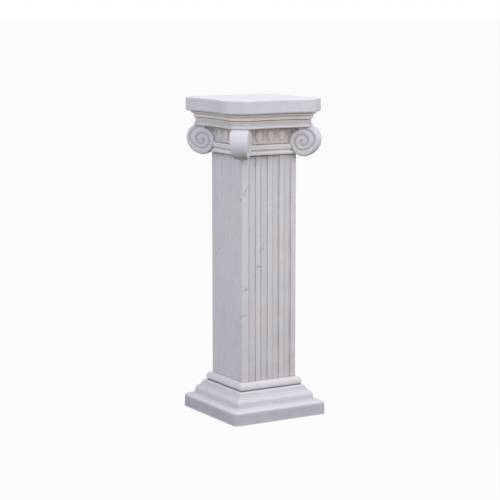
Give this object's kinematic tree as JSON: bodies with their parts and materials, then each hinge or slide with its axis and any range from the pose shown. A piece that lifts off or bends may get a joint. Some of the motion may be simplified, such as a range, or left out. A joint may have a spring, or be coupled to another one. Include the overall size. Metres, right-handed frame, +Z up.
{
  "type": "pedestal column stand",
  "caption": "Square fluted column pedestal with a stepped base, diagonal scroll capital and a flat hollow-sided top slab for a plant, vase or bust.",
  "frame": {"origin": "on the floor, under the centre of the square plinth, at the undersides of the feet", "axes": "+Z up along the shaft, -Y towards the front face, +X to the right of the front face"},
  "size_m": [0.2796, 0.2796, 0.8],
  "materials": {
    "washed_stone": "matt limewash over cast stone, brown wash left in the hollows",
    "setting_bed": "matt brown-stained setting compound",
    "zinc_steel": "zinc plated",
    "foot_rubber": "matt"
  },
  "bodies": {
    "root": {"base_plinth": "washed_stone", "base_torus": "washed_stone", "shaft": "washed_stone", "neck_collar": "washed_stone", "capital_bell": "washed_stone", "cornice": "washed_stone", "abacus_slab": "washed_stone", "frieze_panel_front": "washed_stone", "frieze_panel_right": "washed_stone", "frieze_panel_back": "washed_stone", "frieze_panel_left": "washed_stone", "volute_front_left": "washed_stone", "volute_front_right": "washed_stone", "volute_back_right": "washed_stone", "volute_back_left": "washed_stone", "bed_base": "setting_bed", "bed_shaft_foot": "setting_bed", "bed_shaft_head": "setting_bed", "bed_bell": "setting_bed", "bed_cornice": "setting_bed", "bed_slab": "setting_bed", "tie_rod": "zinc_steel", "tie_plate_lower": "zinc_steel", "tie_plate_upper": "zinc_steel", "tie_washers": "zinc_steel", "tie_nuts": "zinc_steel", "dowels_base": "zinc_steel", "dowels_neck": "zinc_steel", "dowels_slab": "zinc_steel", "volute_pins": "zinc_steel", "foot_front_left": "foot_rubber", "foot_front_right": "foot_rubber", "foot_back_right": "foot_rubber", "foot_back_left": "foot_rubber"}
  },
  "joints": []
}
